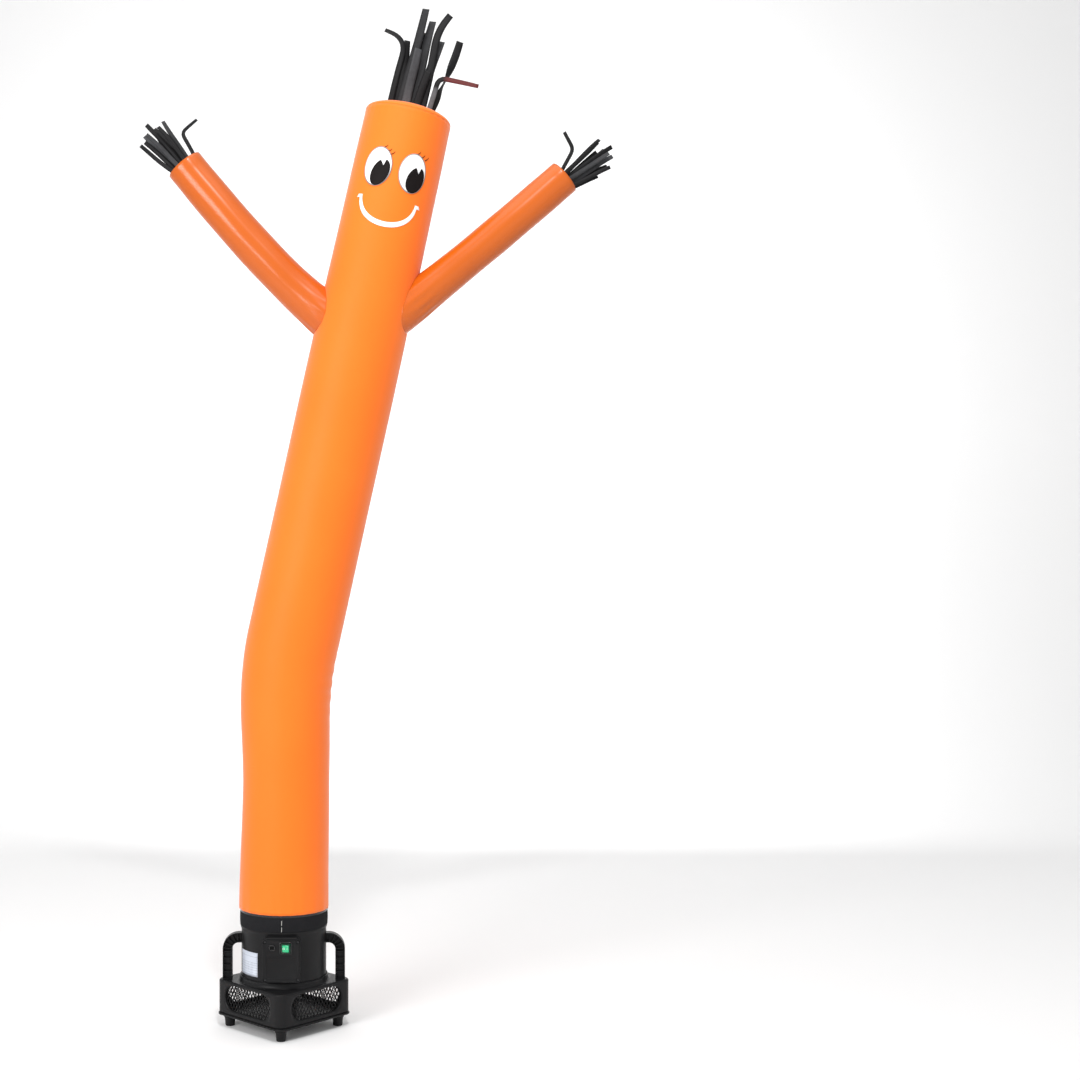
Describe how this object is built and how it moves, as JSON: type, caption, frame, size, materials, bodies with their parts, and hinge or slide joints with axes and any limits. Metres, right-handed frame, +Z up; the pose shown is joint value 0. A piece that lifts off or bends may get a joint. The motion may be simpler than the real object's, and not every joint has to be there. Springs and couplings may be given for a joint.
{
  "type": "inflatable air dancer with blower",
  "caption": "Leaning orange cloth tube figure with a smiling face, hollow raised arms and black ribbon fringes, standing on a floor blower with side handles and oval intake grilles.",
  "frame": {"origin": "under the middle of the bounding box, on the floor the feet stand on", "axes": "+Z up, the face, the switch and one corner of the base look toward -Y, the body leans toward +X"},
  "size_m": [1.2254, 0.3402, 2.6419],
  "materials": {
    "body_nylon": "thin coated nylon, satin",
    "arm_nylon": "thin coated nylon, satin, deeper orange",
    "black_ribbon": "thin coated nylon ribbon",
    "white_patch": "white nylon patch, matte",
    "dark_patch": "near-black nylon patch, matte",
    "black_plastic": "moulded, finely textured",
    "black_hook_tape": "hook-and-loop tape pile",
    "dark_metal": "dark, dull",
    "green_cover": "dark green, glossy",
    "green_rocker": "bright green, glossy",
    "blank_label": "pale silver-white film, blank"
  },
  "bodies": {
    "dancer": {"arm_left": "arm_nylon", "arm_right": "arm_nylon", "base_housing": "black_plastic", "blank_label": "blank_label", "body_tube": "body_nylon", "bottom_plate": "black_plastic", "cable_gland": "black_plastic", "control_box": "black_plastic", "control_lid": "black_plastic", "duct": "black_plastic", "eye_left": "white_patch", "eye_right": "white_patch", "foot_back": "black_plastic", "foot_front": "black_plastic", "foot_left": "black_plastic", "foot_right": "black_plastic", "grille_back_left": "black_plastic", "grille_back_right": "black_plastic", "grille_front_left": "black_plastic", "grille_front_right": "black_plastic", "hair": "black_ribbon", "hand_fringe_left": "black_ribbon", "hand_fringe_right": "black_ribbon", "handle_left": "black_plastic", "handle_right": "black_plastic", "head_panel": "body_nylon", "hook_band": "black_hook_tape", "motor": "dark_metal", "motor_bracket": "black_plastic", "outlet_guard": "black_plastic", "outlet_ring": "black_plastic", "pupil_left": "dark_patch", "pupil_right": "dark_patch", "ring_screw_back": "dark_metal", "ring_screw_front": "dark_metal", "ring_screw_left": "dark_metal", "ring_screw_right": "dark_metal", "smile": "white_patch", "switch_bezel": "black_plastic", "switch_cover": "green_cover"},
    "rocker": {"switch_rocker": "green_rocker"}
  },
  "joints": [
    {"name": "rocker_hinge", "type": "hinge", "parent": "dancer", "child": "rocker", "pos_m": [-0.2293, -0.1313, 0.2295], "axis": [0, 0, 1], "range_deg": [0, 20]}
  ]
}
